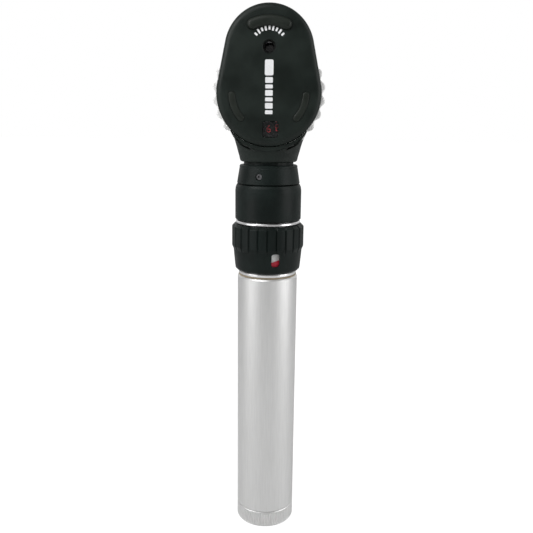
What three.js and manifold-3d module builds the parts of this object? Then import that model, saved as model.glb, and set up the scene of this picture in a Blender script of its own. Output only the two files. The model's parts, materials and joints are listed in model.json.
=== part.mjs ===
// Direct ophthalmoscope on a slim two-cell handle. Millimetres, +Z up, origin at the centre of the foot.
// The practitioner looks through the head along +Y; the patient is on the +Y side.
import * as THREE from 'three';
import { mergeVertices } from 'three/addons/utils/BufferGeometryUtils.js';
import Module from 'manifold-3d';

const wasm = await Module();
wasm.setup();

// ---------- driving dimensions ----------
const GAP = 0.3;              // clearance between separate pieces
const FIT = 0.1;              // close clearance between pieces fixed to each other
const ROUND = 32;             // facets of a large turned piece
const SMALL_ROUND = 16;       // facets of a small turned piece

const HANDLE_R = 10.5;        // outside of the tube and the end cap
const CAP_TOP = 5.9;          // seam between the end cap and the tube
const CAP_SPIGOT_TOP = 10.6;  // top of the cap's threaded spigot
const CAP_TEETH = 36;         // serrations round the end cap
const TUBE_TOP = 94.3;
const TUBE_END_BORE_R = 9.6;  // bore at both ends of the tube
const TUBE_MID_BORE_R = 8.2;
const CELL_R = 7.25;          // AA cell
const CELL_LENGTH = 50.4;
const CELL_FOOT = 7.2;        // underside of the lower cell
const LINER_R = 7.9;

const SKIRT_R = 9.3;          // coupling skirt inside the tube
const SKIRT_FOOT = 86;
const COLLAR_FOOT = 96.3;     // control collar
const COLLAR_TOP = 112.4;
const COLLAR_BORE_R = 10.75;
const COLLAR_LOW_R = 11.43;
const COLLAR_MID_R = 11.83;
const GRIP_R = 12.5;
const GRIP_FOOT = 104.7;
const GRIP_TOP = 111.6;
const GRIP_RIBS = 24;
const INDICATOR_ANGLE = 14.4; // degrees from the front towards +X
const INDICATOR_FOOT = 99.2;
const INDICATOR_TOP = 103.4;
const INDICATOR_WIDTH = 2.9;

const FLANGE_FOOT = 112.7;    // bright flange of the head coupling
const FLANGE_TOP = 113.6;
const FLANGE_R = 11.2;
const SPIGOT_R = 9.3;         // threaded spigot that the head screws onto
const SPIGOT_TOP = 119;
const PIN_TIP = 117.3;        // contact pin

const BASE_FOOT = 113.9;      // captive base collar of the head
const BASE_TOP = 126;
const BASE_R = 11.4;
const NECK_RING_FOOT = 126.3;
const NECK_RING_TOP = 132.6;
const SLEEVE_R = 8.5;         // metal sleeve between the neck and the base collar
const SLEEVE_FOOT = 119.4;
const SLEEVE_TOP = 135.2;
const NECK_FOOT = 133.6;
const LAMP_R = 4.2;

const EYE_Z = 169.7;          // height of the sight line
const EYE_R = 2.05;           // sight hole in the cover
const CROWN_Z = 168.65;       // upper circle of the egg outline
const CROWN_R = 14.2;
const WHEEL_Z = 155.65;       // lens wheel axle, and lower circle of the egg outline
const BELLY_R = 16.83;
const COVER_FACE_Y = -12;
const COVER_BACK_Y = -9.2;
const COVER_WALL = 1.4;
const COVER_SCREW_X = 7.2;    // two screws hold the cover from the patient's side
const COVER_SCREW_Z = 176.6;
const SCREW_BOSS_R = 2.6;
const SLOT_FRONT_Y = -9;      // slot that the lens wheel turns in
const SLOT_BACK_Y = -5.4;
const SLOT_R = 18.85;
const WHEEL_R = 18.2;
const WHEEL_SCALLOPS = 24;
const SCALLOP_DEPTH = 1;
const RIM_FRONT_Y = -8.6;
const RIM_BACK_Y = -5.8;
const RIM_BORE_R = 15.6;
const LENS_CIRCLE_R = EYE_Z - WHEEL_Z;
const DETENT_Y = (RIM_FRONT_Y + RIM_BACK_Y) / 2;
const DETENT_BALL_R = 1.15;
const DETENT_Z = WHEEL_Z + WHEEL_R - SCALLOP_DEPTH + DETENT_BALL_R + 0.1;
const CAVITY_BACK_Y = -4.2;
const CAVITY_FRONT_Y = 9.4;
const HOUSING_FRONT_Y = 12;

const READOUT_X = 0.6;        // window over the dioptre scale
const READOUT_Z = 144.4;
const READOUT_SIZE = 4.9;
const PADS = [                // raised pads on the cover: brow pad over the sight hole, and two low arcs
  { name: 'brow_pad_top', z: 164.4, r: 13, width: 3.3, from: 66, to: 114, rise: 1.3 },
  { name: 'brow_pad_left', z: WHEEL_Z, r: 11.8, width: 2.1, from: 183, to: 221, rise: 0.4 },
  { name: 'brow_pad_right', z: WHEEL_Z, r: 11.8, width: 2.1, from: 319, to: 357, rise: 0.4 },
];
const NECK_SECTIONS = [       // height, half width, half depth, and squareness (2 is round)
  [NECK_FOOT, 9.6, 9.6, 2], [134, 9.77, 9.77, 2], [135.3, 10, 10, 2], [136.6, 10.4, 10.4, 2.1],
  [138.7, 10.97, 10.97, 2], [141, 11.65, 11.3, 2.2], [142.3, 12.2, 11.4, 2.4], [144, 13, 11.4, 2.6],
  [147, 14, 11.4, 3],
];
const LIP_FACE_Y = -11.2;     // lip under the cover, in front of the lens wheel
const LIP_SIDE = [[10.7, 140.93], [11.6, 142.3], [12.6, 144.2]];
const POCKET = [[7.9, 139.4], [10.5, 139.5], [10.3, 141.5]]; // small blind pocket each side of the neck
const GRUB_ANGLE = -17.3;     // degrees from the front towards -X
const GRUB_Z = 129;

const WINDOW_Z = 167;         // window on the patient's side
const WINDOW_WIDTH = 9.2;
const WINDOW_HEIGHT = 12.6;
const DIAL_Y = 5.6;           // axle of the aperture dial, parallel to Z
const DIAL_R = 8.6;
const DIAL_FOOT = 148;
const DIAL_TOP = 150.2;
const DIAL_STOPS = [2, 1.3, 0.7, 2, 1.6, 1];  // radii of the apertures round the dial
const RED_FREE_STOP = 3;      // which stop holds the green filter
const MIRROR_Z = 164.7;
const OPTIC_R = 3.2;          // bore of the chassis and the optic tube

// ---------- colours ----------
const black = new THREE.MeshStandardMaterial({ color: 0x1d211e, roughness: 0.55, metalness: 0 });
const rubber = new THREE.MeshStandardMaterial({ color: 0x262a27, roughness: 0.8, metalness: 0 });
const silver = new THREE.MeshStandardMaterial({ color: 0xbdbdbf, roughness: 0.35, metalness: 0.9 });
const bright = new THREE.MeshStandardMaterial({ color: 0xe2e2e4, roughness: 0.15, metalness: 1 });
const brass = new THREE.MeshStandardMaterial({ color: 0xb5934a, roughness: 0.3, metalness: 1 });
const steel = new THREE.MeshStandardMaterial({ color: 0x9a9b9d, roughness: 0.3, metalness: 1 });
const pale = new THREE.MeshStandardMaterial({ color: 0xe9e8e2, roughness: 0.45, metalness: 0 });
const red = new THREE.MeshStandardMaterial({ color: 0xb0162a, roughness: 0.5, metalness: 0 });
const glass = new THREE.MeshStandardMaterial({ color: 0xdfe8ea, roughness: 0.05, metalness: 0 });
const green = new THREE.MeshStandardMaterial({ color: 0x2f8f55, roughness: 0.1, metalness: 0 });
const wrap = new THREE.MeshStandardMaterial({ color: 0x2b3f63, roughness: 0.4, metalness: 0.2 });

// ---------- geometry helpers ----------
const radians = (degrees) => degrees * Math.PI / 180;

function signedVolume(geometry) {
  const at = geometry.attributes.position;
  const index = geometry.index.array;
  const corner = [new THREE.Vector3(), new THREE.Vector3(), new THREE.Vector3()];
  let sum = 0;
  for (let i = 0; i < index.length; i += 3) {
    corner.forEach((v, k) => v.fromBufferAttribute(at, index[i + k]));
    sum += corner[0].dot(corner[1].cross(corner[2]));
  }
  return sum / 6;
}

// Only positions, shared vertices merged, no collapsed triangles, faces pointing out.
function closed(raw) {
  const bare = new THREE.BufferGeometry();
  bare.setAttribute('position', raw.attributes.position.clone());
  if (raw.index) bare.setIndex(raw.index.clone());
  const merged = mergeVertices(bare, 1e-4);
  const index = [];
  for (let i = 0; i < merged.index.count; i += 3) {
    const [a, b, c] = [0, 1, 2].map((k) => merged.index.getX(i + k));
    if (a !== b && b !== c && c !== a) index.push(a, b, c);
  }
  merged.setIndex(index);
  if (signedVolume(merged) < 0) merged.setIndex(index.reverse());
  return merged;
}

function toSolid(geometry) {
  const clean = closed(geometry);
  const vertProperties = new Float32Array(clean.attributes.position.array);
  const triVerts = new Uint32Array(clean.index.array);
  return new wasm.Manifold(new wasm.Mesh({ numProp: 3, vertProperties, triVerts }));
}

function fromSolid(solid) {
  const mesh = solid.getMesh();
  const geometry = new THREE.BufferGeometry();
  geometry.setAttribute('position', new THREE.BufferAttribute(new Float32Array(mesh.vertProperties), 3));
  geometry.setIndex([...mesh.triVerts]);
  return closed(geometry);
}

function cut(base, ...tools) {
  return fromSolid(tools.reduce((solid, tool) => solid.subtract(toSolid(tool)), toSolid(base)));
}

function join(base, ...others) {
  return fromSolid(others.reduce((solid, other) => solid.add(toSolid(other)), toSolid(base)));
}

// A body turned about Z from a profile of [radius, z] points; the profile closes on itself.
function turned(profile, facets = ROUND) {
  const points = [...profile, profile[0]].map(([r, z]) => new THREE.Vector2(r, z));
  return closed(new THREE.LatheGeometry(points, facets).rotateX(Math.PI / 2));
}

function disc(radius, from, to, facets = SMALL_ROUND) {
  return turned([[0, from], [radius, from], [radius, to], [0, to]], facets);
}

function ring(inner, outer, from, to, facets = ROUND) {
  return turned([[inner, from], [outer, from], [outer, to], [inner, to]], facets);
}

// Turns a body made about Z so that its axis lies along Y at (x, z); its z becomes y.
function alongY(geometry, x, z) {
  return geometry.rotateX(-Math.PI / 2).translate(x, 0, z);
}

// Extrudes an outline drawn in x and z through the depths from..to.
function plate(shape, from, to, curveSegments = 12) {
  const depth = to - from;
  const raw = new THREE.ExtrudeGeometry(shape, { depth, bevelEnabled: false, curveSegments });
  return closed(raw.rotateX(Math.PI / 2).translate(0, to, 0));
}

// Extrudes an outline drawn in x and y upwards through from..to.
function slab(shape, from, to, curveSegments = 8) {
  const raw = new THREE.ExtrudeGeometry(shape, { depth: to - from, bevelEnabled: false, curveSegments });
  return closed(raw.translate(0, 0, from));
}

function block(x0, x1, y0, y1, z0, z1) {
  const box = new THREE.BoxGeometry(x1 - x0, y1 - y0, z1 - z0);
  return box.translate((x0 + x1) / 2, (y0 + y1) / 2, (z0 + z1) / 2);
}

// Points of the head's egg outline, drawn in by inset: two circles and their common tangents.
function eggPoints(inset) {
  const lean = Math.asin((BELLY_R - CROWN_R) / (CROWN_Z - WHEEL_Z));
  const arcs = [
    { z: CROWN_Z, r: CROWN_R - inset, from: lean, to: Math.PI - lean, steps: 12 },
    { z: WHEEL_Z, r: BELLY_R - inset, from: Math.PI - lean, to: 2 * Math.PI + lean, steps: 18 },
  ];
  const points = [];
  for (const arc of arcs) {
    for (let i = 0; i <= arc.steps; i++) {
      const a = arc.from + (arc.to - arc.from) * i / arc.steps;
      points.push([arc.r * Math.cos(a), arc.z + arc.r * Math.sin(a)]);
    }
  }
  return points;
}

// Skin through rings of equal counts, closed by a fan to the middle of each end.
function skin(rings, startMiddle, endMiddle) {
  const count = rings[0].length;
  const last = rings.length - 1;
  const position = [...rings.flat(), startMiddle, endMiddle];
  const [startHub, endHub] = [count * rings.length, count * rings.length + 1];
  const index = [];
  for (let i = 0; i < count; i++) {
    const j = (i + 1) % count;
    for (let k = 0; k < last; k++) {
      const [a, b] = [k * count, (k + 1) * count];
      index.push(a + i, b + i, a + j, a + j, b + i, b + j);
    }
    index.push(startHub, i, j, endHub, last * count + j, last * count + i);
  }
  const geometry = new THREE.BufferGeometry();
  geometry.setAttribute('position', new THREE.Float32BufferAttribute(position.flat(), 3));
  geometry.setIndex(index);
  return closed(geometry);
}

// An egg-shaped body through sections of [y, inset].
function eggBody(sections) {
  const rings = sections.map(([y, inset]) => eggPoints(inset).map(([x, z]) => [x, y, z]));
  const middle = (CROWN_Z + WHEEL_Z) / 2;
  return skin(rings, [0, sections[0][0], middle], [0, sections.at(-1)[0], middle]);
}

// A body along Z through superellipse sections of [z, half width, half depth, squareness].
function squaredBody(sections, facets = 40) {
  const power = (value, exponent) => Math.sign(value) * Math.abs(value) ** exponent;
  const rings = sections.map(([z, width, depth, n]) => Array.from({ length: facets }, (_, i) => {
    const a = 2 * Math.PI * i / facets;
    return [width * power(Math.cos(a), 2 / n), depth * power(Math.sin(a), 2 / n), z];
  }));
  return skin(rings, [0, 0, sections[0][0]], [0, 0, sections.at(-1)[0]]);
}

// A bean-shaped outline along an arc: centre (0, z), middle radius r, between two angles in degrees.
function beanShape(z, r, width, from, to) {
  const [a0, a1] = [radians(from), radians(to)];
  const end = (a) => [r * Math.cos(a), z + r * Math.sin(a)];
  const shape = new THREE.Shape();
  shape.absarc(0, z, r + width / 2, a0, a1, false);
  shape.absarc(...end(a1), width / 2, a1, a1 + Math.PI, false);
  shape.absarc(0, z, r - width / 2, a1, a0, true);
  shape.absarc(...end(a0), width / 2, a0 + Math.PI, a0 + 2 * Math.PI, false);
  return shape;
}

function roundedRect(width, height, radius, z) {
  const [x, h] = [width / 2 - radius, height / 2 - radius];
  const shape = new THREE.Shape();
  shape.absarc(x, z + h, radius, 0, Math.PI / 2);
  shape.absarc(-x, z + h, radius, Math.PI / 2, Math.PI);
  shape.absarc(-x, z - h, radius, Math.PI, 1.5 * Math.PI);
  shape.absarc(x, z - h, radius, 1.5 * Math.PI, 2 * Math.PI);
  return shape;
}

class Helix extends THREE.Curve {
  constructor(footR, topR, foot, top, turns) {
    super();
    Object.assign(this, { footR, topR, foot, top, turns });
  }

  getPoint(t) {
    const r = this.footR + (this.topR - this.footR) * t;
    const a = 2 * Math.PI * this.turns * t;
    return new THREE.Vector3(r * Math.cos(a), r * Math.sin(a), this.foot + (this.top - this.foot) * t);
  }
}

function coil(helix, wire, sides, stepsPerTurn) {
  const section = new THREE.Shape();
  section.absarc(0, 0, wire, 0, 2 * Math.PI);
  const steps = helix.turns * stepsPerTurn;
  return closed(new THREE.ExtrudeGeometry(section, { extrudePath: helix, steps, curveSegments: sides }));
}

// Toothed outline about the origin: radius falls from r by depth between the teeth.
function toothedShape(r, depth, teeth, pointsPerTooth, phase) {
  const count = teeth * pointsPerTooth;
  const points = [];
  for (let i = 0; i < count; i++) {
    const a = 2 * Math.PI * i / count;
    const fall = (1 - Math.cos(teeth * a + phase)) / 2;
    points.push(new THREE.Vector2((r - depth * fall) * Math.cos(a), (r - depth * fall) * Math.sin(a)));
  }
  return new THREE.Shape(points);
}

const object = new THREE.Group();

function body(...pieces) {
  const group = new THREE.Group();
  for (const [name, geometry, material] of pieces) {
    const mesh = new THREE.Mesh(geometry, material);
    mesh.name = name;
    group.add(mesh);
  }
  object.add(group);
}

// ---------- foot: end cap and its spring ----------
function endCap() {
  const outline = toothedShape(HANDLE_R, 0.2, CAP_TEETH, 2, 0);
  const hollow = new THREE.Path();
  hollow.absarc(0, 0, SKIRT_R, 0, 2 * Math.PI, true);
  outline.holes.push(hollow);
  const grip = slab(outline, 0.5, CAP_TOP - 0.6);
  const core = turned([
    [0, 0], [HANDLE_R - 0.35, 0], [HANDLE_R - 0.2, 0.5], [HANDLE_R - 0.2, CAP_TOP - 0.6],
    [HANDLE_R - 0.05, CAP_TOP - 0.6], [HANDLE_R - 0.05, CAP_TOP], [SKIRT_R, CAP_TOP],
    [SKIRT_R, CAP_SPIGOT_TOP - 0.4], [SKIRT_R - 0.4, CAP_SPIGOT_TOP], [TUBE_MID_BORE_R, CAP_SPIGOT_TOP],
    [TUBE_MID_BORE_R, 1.6], [0, 1.6],
  ]);
  return join(core, grip);
}

function batterySpring() {
  return coil(new Helix(6.6, 3.4, 2.3, 6.6, 4), 0.4, 3, 11);
}

// ---------- handle ----------
function batteryTube() {
  return turned([
    [HANDLE_R - 0.1, CAP_TOP + 0.2], [HANDLE_R, CAP_TOP + 0.4], [HANDLE_R, TUBE_TOP - 0.4],
    [HANDLE_R - 0.4, TUBE_TOP], [TUBE_END_BORE_R, TUBE_TOP], [TUBE_END_BORE_R, SKIRT_FOOT - GAP],
    [TUBE_MID_BORE_R, SKIRT_FOOT - GAP], [TUBE_MID_BORE_R, CAP_SPIGOT_TOP + GAP],
    [TUBE_END_BORE_R, CAP_SPIGOT_TOP + GAP], [TUBE_END_BORE_R, CAP_TOP + 0.2],
  ]);
}

function cell(foot) {
  const shoulder = foot + CELL_LENGTH - 1.2;
  return turned([
    [0, foot], [CELL_R - 0.5, foot], [CELL_R, foot + 0.5], [CELL_R, shoulder - 0.5],
    [CELL_R - 0.5, shoulder], [2.6, shoulder], [2.6, foot + CELL_LENGTH], [0, foot + CELL_LENGTH],
  ], 20);
}

// One turned piece: skirt in the tube, bright flange under the head, and threaded spigot.
function headCoupling() {
  const bore = 6;
  return turned([
    [TUBE_MID_BORE_R, SKIRT_FOOT], [SKIRT_R, SKIRT_FOOT], [SKIRT_R, FLANGE_FOOT],
    [FLANGE_R, FLANGE_FOOT], [FLANGE_R, FLANGE_TOP - 0.2], [FLANGE_R - 0.2, FLANGE_TOP],
    [SPIGOT_R, FLANGE_TOP], [SPIGOT_R, SPIGOT_TOP - 0.4], [SPIGOT_R - 0.4, SPIGOT_TOP],
    [bore, SPIGOT_TOP], [bore, 109.6], [TUBE_MID_BORE_R, 109.6],
  ]);
}

// Red wedge round the indicator sleeve: its top edge climbs as the collar turns towards full brightness.
function indicatorBand(innerR, outerR) {
  const foot = 98.4;
  const low = 0.5;
  const high = INDICATOR_TOP - foot + 0.5;
  const [from, to] = [-35, 105];
  const steps = 28;
  const position = [];
  for (let i = 0; i <= steps; i++) {
    const t = i / steps;
    const a = radians(-90 + INDICATOR_ANGLE + from + (to - from) * t);
    const top = foot + Math.min(high, low + (high - low) * t * 1.4);
    const [c, s] = [Math.cos(a), Math.sin(a)];
    const corners = [[outerR, foot], [outerR, top], [innerR, top], [innerR, foot]];
    corners.forEach(([r, z]) => position.push(r * c, r * s, z));
  }
  const index = [0, 1, 2, 0, 2, 3];
  for (let i = 0; i < steps; i++) {
    for (let k = 0; k < 4; k++) {
      const [a, b] = [i * 4 + k, i * 4 + (k + 1) % 4];
      index.push(a, a + 4, b, b, a + 4, b + 4);
    }
  }
  const end = steps * 4;
  index.push(end, end + 2, end + 1, end, end + 3, end + 2);
  const geometry = new THREE.BufferGeometry();
  geometry.setAttribute('position', new THREE.Float32BufferAttribute(position, 3));
  geometry.setIndex(index);
  return closed(geometry);
}

function contactInsulator() {
  return turned([
    [2.8, 109.7], [5.7, 109.7], [5.7, 116], [1.5, 116], [1.5, 114.3], [2.8, 114.3],
  ], 20);
}

function contactPin() {
  return turned([
    [0, 112.9], [2.3, 112.9], [2.3, 113.9], [1.1, 113.9], [1.1, PIN_TIP - 0.5], [0.6, PIN_TIP], [0, PIN_TIP],
  ], 16);
}

// ---------- control collar ----------
function controlCollar() {
  const shell = turned([
    [COLLAR_BORE_R, COLLAR_FOOT], [COLLAR_LOW_R - 0.5, COLLAR_FOOT], [COLLAR_LOW_R - 0.1, COLLAR_FOOT + 0.5],
    [COLLAR_LOW_R, COLLAR_FOOT + 1.4], [COLLAR_MID_R, 102], [COLLAR_MID_R + 0.1, GRIP_FOOT - 1.3],
    [GRIP_R, GRIP_FOOT], [GRIP_R, GRIP_TOP], [GRIP_R - 0.9, COLLAR_TOP], [SKIRT_R + 0.4, COLLAR_TOP],
    [SKIRT_R + 0.4, COLLAR_TOP - 1], [COLLAR_BORE_R, COLLAR_TOP - 1],
  ]);
  const grooves = [];
  for (let i = 0; i < GRIP_RIBS; i++) {
    const a = 2 * Math.PI * (i + 0.5) / GRIP_RIBS;
    const groove = disc(0.75, GRIP_FOOT - 1.2, COLLAR_TOP + 1, 6);
    grooves.push(groove.translate((GRIP_R + 0.3) * Math.cos(a), (GRIP_R + 0.3) * Math.sin(a), 0));
  }
  const height = INDICATOR_TOP - INDICATOR_FOOT;
  const opening = roundedRect(INDICATOR_WIDTH, height, 0.5, (INDICATOR_FOOT + INDICATOR_TOP) / 2);
  const window = plate(opening, -14, -9, 3).rotateZ(radians(INDICATOR_ANGLE));
  return cut(shell, ...grooves, window);
}

function rheostatWiper() {
  const wiper = block(-1.6, 1.6, 0.25 - COLLAR_BORE_R, -10.2, 106.4, 108.4);
  return closed(wiper.rotateZ(radians(150)));
}

// ---------- head: neck and base ----------
function baseCollar() {
  return turned([
    [SPIGOT_R + FIT, BASE_FOOT], [BASE_R - 0.3, BASE_FOOT], [BASE_R, BASE_FOOT + 0.4],
    [BASE_R, BASE_TOP - 2.1], [BASE_R - 0.15, BASE_TOP - 0.9], [BASE_R - 0.5, BASE_TOP],
    [SLEEVE_R + 0.25, BASE_TOP], [SLEEVE_R + 0.25, 121.4], [9.8, 121.4], [9.8, 118.9],
    [SPIGOT_R + FIT, 118.9],
  ]);
}

function headSleeve() {
  const bore = LAMP_R + GAP;
  return turned([
    [bore, SLEEVE_FOOT], [9.4, SLEEVE_FOOT], [9.4, 121.1], [SLEEVE_R, 121.1],
    [SLEEVE_R, SLEEVE_TOP], [bore, SLEEVE_TOP],
  ]);
}

function neckRing() {
  const shell = turned([
    [SLEEVE_R + FIT, NECK_RING_FOOT], [10.7, NECK_RING_FOOT], [10.78, NECK_RING_FOOT + 0.2],
    [9.97, 131.5], [9.94, 132.2], [9.7, NECK_RING_TOP], [SLEEVE_R + FIT, NECK_RING_TOP],
  ]);
  const hole = alongY(disc(1.2, -12, -8, 12), 0, GRUB_Z);
  return cut(shell, hole.rotateZ(radians(GRUB_ANGLE)));
}

function grubScrew() {
  const screw = alongY(disc(1, -9.9, -8.75, 12), 0, GRUB_Z);
  const socket = alongY(disc(0.45, -10.5, -9.4, 6), 0, GRUB_Z);
  return cut(screw, socket).rotateZ(radians(GRUB_ANGLE));
}

function lampBase() {
  return turned([
    [0, 118.6], [5.2, 118.6], [5.2, 119.2], [LAMP_R, 119.2], [LAMP_R, 134.5],
    [3.6, 137], [0, 137],
  ], 20);
}

function lampBulb() {
  return turned([[0, 137.2], [2.6, 137.2], [3, 138.6], [2.9, 141], [2, 142.4], [0.9, 143], [0, 143]], 20);
}

// ---------- head: casing ----------
function rearCover() {
  const shell = eggBody([
    [COVER_FACE_Y, 1.1], [COVER_FACE_Y + 0.35, 0.5], [COVER_FACE_Y + 0.8, 0.12],
    [COVER_FACE_Y + 1.3, 0], [COVER_BACK_Y, 0],
  ]);
  const inner = eggBody([[COVER_FACE_Y + COVER_WALL, 1.5], [COVER_BACK_Y + 1, 1.5]]);
  const boss = alongY(disc(3, COVER_FACE_Y + 1, SLOT_FRONT_Y + 0.05), 0, WHEEL_Z);
  const screwBosses = [-1, 1].map((side) => (
    alongY(disc(SCREW_BOSS_R, COVER_FACE_Y + 1, COVER_BACK_Y), side * COVER_SCREW_X, COVER_SCREW_Z)
  ));
  const hollow = join(cut(shell, inner), boss, ...screwBosses);
  const bores = [
    alongY(disc(EYE_R, -13, -10), 0, EYE_Z),
    alongY(disc(1.2, COVER_FACE_Y + 1.2, 0, 12), 0, WHEEL_Z),
    ...[-1, 1].map((side) => (
      alongY(disc(1, COVER_FACE_Y + 1.2, 0, 12), side * COVER_SCREW_X, COVER_SCREW_Z)
    )),
    plate(windowShape(FIT), -13, -10, 3).translate(READOUT_X, 0, 0),
    ...PADS.map((pad) => padPlate(pad, COVER_FACE_Y - 4, COVER_FACE_Y + 0.5, FIT)),
  ];
  return cut(hollow, ...bores);
}

function padPlate(pad, from, to, margin) {
  const shape = beanShape(pad.z, pad.r, pad.width + 2 * margin, pad.from, pad.to);
  return plate(shape, from, to, 4);
}

function padPiece(pad) {
  const base = COVER_FACE_Y + 0.5 - FIT;
  const shoulder = COVER_FACE_Y - pad.rise * 0.55;
  const crown = COVER_FACE_Y - pad.rise;
  const foot = padPlate(pad, shoulder, base, 0);
  const top = padPlate(pad, crown, shoulder, -Math.min(0.5, pad.rise / 2));
  return join(foot, top);
}

function windowShape(margin) {
  const side = READOUT_SIZE + 2 * margin;
  return roundedRect(side, side, 0.6, READOUT_Z);
}

function readoutWindow() {
  const pane = plate(windowShape(0), COVER_FACE_Y + 0.25, COVER_FACE_Y + COVER_WALL - 0.1, 3);
  return pane.translate(READOUT_X, 0, 0);
}

function eyepiecePlate() {
  const inner = COVER_FACE_Y + COVER_WALL;
  return alongY(ring(1.6, 4.2, inner + FIT, inner + 0.7, 24), 0, EYE_Z);
}

function frontHousing() {
  const shell = eggBody([
    [SLOT_FRONT_Y, 0.3], [5, 0.3], [8, 0.9], [10, 2.2], [11.4, 4], [HOUSING_FRONT_Y, 6],
  ]);
  const neck = squaredBody(NECK_SECTIONS);
  const behindCover = block(-20, 20, -20, SLOT_FRONT_Y - 0.2, WHEEL_Z, 190);
  const coverSpace = eggBody([[COVER_FACE_Y - 3, -GAP], [SLOT_FRONT_Y - 0.1, -GAP]]);
  const slot = alongY(disc(SLOT_R, SLOT_FRONT_Y - 0.2, SLOT_BACK_Y, 48), 0, WHEEL_Z);
  const cavity = eggBody([
    [CAVITY_BACK_Y, 2.6], [6, 2.6], [8, 3.4], [CAVITY_FRONT_Y, 5],
  ]);
  const hollow = cut(join(shell, neck, lip()), behindCover, coverSpace, slot, cavity);
  const posts = [-1, 1].map((side) => (
    alongY(disc(SCREW_BOSS_R, CAVITY_BACK_Y - 0.5, 9), side * COVER_SCREW_X, COVER_SCREW_Z)
  ));
  const bores = [
    disc(SLEEVE_R + FIT, 130, SLEEVE_TOP + GAP, ROUND),
    disc(LAMP_R + 0.4, 130, 145),
    disc(DIAL_R + 0.5, DIAL_FOOT - GAP, DIAL_TOP + GAP, 24).translate(0, DIAL_Y, 0),
    alongY(disc(2.2, SLOT_BACK_Y - 1, CAVITY_BACK_Y + 1), 0, EYE_Z),
    alongY(disc(1.6, SLOT_BACK_Y - 1, CAVITY_BACK_Y + 1, 12), 0, WHEEL_Z),
    disc(1.4, DETENT_Z - 0.9, DETENT_Z + 5.6, 12).translate(0, DETENT_Y, 0),
    plate(roundedRect(WINDOW_WIDTH - 1.6, WINDOW_HEIGHT - 1.6, 1.6, WINDOW_Z), 8, 13, 2),
    plate(roundedRect(WINDOW_WIDTH, WINDOW_HEIGHT, 2.2, WINDOW_Z), HOUSING_FRONT_Y - 1.3, 13, 2),
    ...[-1, 1].flatMap((side) => [coverScrewBore(side), neckPocket(side)]),
  ];
  return cut(join(hollow, ...posts), ...bores);
}

// Crescent lip that follows the cover's lower edge and hides the bottom of the lens wheel.
function lip() {
  const [[x, z]] = LIP_SIDE;
  const start = Math.atan2(z - WHEEL_Z, x);
  const shape = new THREE.Shape();
  shape.absarc(0, WHEEL_Z, WHEEL_R, start, -Math.PI - start, true);
  LIP_SIDE.forEach(([side, height]) => shape.lineTo(-side, height));
  [...LIP_SIDE].reverse().forEach(([side, height]) => shape.lineTo(side, height));
  return plate(shape, LIP_FACE_Y, SLOT_FRONT_Y, 10);
}

function neckPocket(side) {
  const shape = new THREE.Shape(POCKET.map(([x, z]) => new THREE.Vector2(side * x, z)));
  return plate(shape, COVER_FACE_Y - 1, -9.8, 1);
}

function coverScrewBore(side) {
  const bore = turned([[0, -10], [1.3, -10], [1.3, 8], [2.3, 8], [2.3, 13], [0, 13]], 16);
  return alongY(bore, side * COVER_SCREW_X, COVER_SCREW_Z);
}

function coverScrew(side) {
  const screw = turned([
    [0, COVER_FACE_Y + 1.4], [0.9, COVER_FACE_Y + 1.4], [0.9, 8.1], [2.1, 8.1], [2.1, 9.3], [0, 9.3],
  ], 16);
  const socket = disc(0.9, 8.6, 12, 6);
  return alongY(cut(screw, socket), side * COVER_SCREW_X, COVER_SCREW_Z);
}

function windowBezel() {
  const outline = roundedRect(WINDOW_WIDTH - 2 * FIT, WINDOW_HEIGHT - 2 * FIT, 2.1, WINDOW_Z);
  outline.holes.push(roundedRect(WINDOW_WIDTH - 2, WINDOW_HEIGHT - 2, 1.4, WINDOW_Z));
  return plate(outline, HOUSING_FRONT_Y - 0.5, HOUSING_FRONT_Y + 0.2, 2);
}

function frontWindow() {
  const outline = roundedRect(WINDOW_WIDTH - GAP, WINDOW_HEIGHT - GAP, 2.05, WINDOW_Z);
  return plate(outline, HOUSING_FRONT_Y - 1.2, HOUSING_FRONT_Y - 0.6, 2);
}

// ---------- head: optics ----------
function opticChassis() {
  const shape = new THREE.Shape();
  shape.absarc(0, 0, 4, Math.PI, 2 * Math.PI);
  shape.lineTo(6.2, 3);
  shape.lineTo(6.2, 8);
  shape.lineTo(-6.2, 8);
  shape.lineTo(-6.2, 3);
  const core = slab(shape, 143.8, 147.5, 10);
  return cut(core, disc(OPTIC_R, 140, 150), disc(0.95, 140, 150, 12).translate(0, DIAL_Y, 0));
}

function condenserLens() {
  return turned([[0, 144.2], [3.1, 144.2], [3.1, 145], [2.4, 146.2], [1.3, 146.9], [0, 147.1]], 20);
}

function opticTube() {
  return ring(OPTIC_R, 4, 150.8, 161.6, 24);
}

function projectionLens() {
  return turned([
    [0, 156], [1.6, 156.3], [3.1, 157.1], [3.1, 158.1], [1.6, 158.9], [0, 159.2],
  ], 20);
}

function dialAxle() {
  return turned([
    [0, 144.2], [0.85, 144.2], [0.85, DIAL_TOP + 0.3], [1.4, DIAL_TOP + 0.3],
    [1.4, DIAL_TOP + 1], [0, DIAL_TOP + 1],
  ], 16).translate(0, DIAL_Y, 0);
}

// Glass plate at 45 degrees: the beam comes up along Z and leaves along +Y.
function mirror() {
  const glassPlate = new THREE.BoxGeometry(6, 6.2, 0.8).rotateX(Math.PI / 4);
  return closed(glassPlate.translate(0, -0.3, MIRROR_Z));
}

function mirrorBracket() {
  const side = new THREE.Shape();
  side.moveTo(-3.9, MIRROR_Z - 2.6);
  side.lineTo(-3.68, MIRROR_Z - 2.6);
  side.lineTo(1.32, MIRROR_Z + 2.4);
  side.lineTo(-3.9, MIRROR_Z + 2.4);
  const raw = new THREE.ExtrudeGeometry(side, { depth: 6, bevelEnabled: false });
  raw.rotateY(Math.PI / 2).rotateX(Math.PI / 2);
  return closed(raw.translate(-3, 0, 0));
}

function sightTube() {
  return alongY(ring(1.8, 2.4, CAVITY_BACK_Y + FIT, 8.6, 24), 0, EYE_Z);
}

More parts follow.
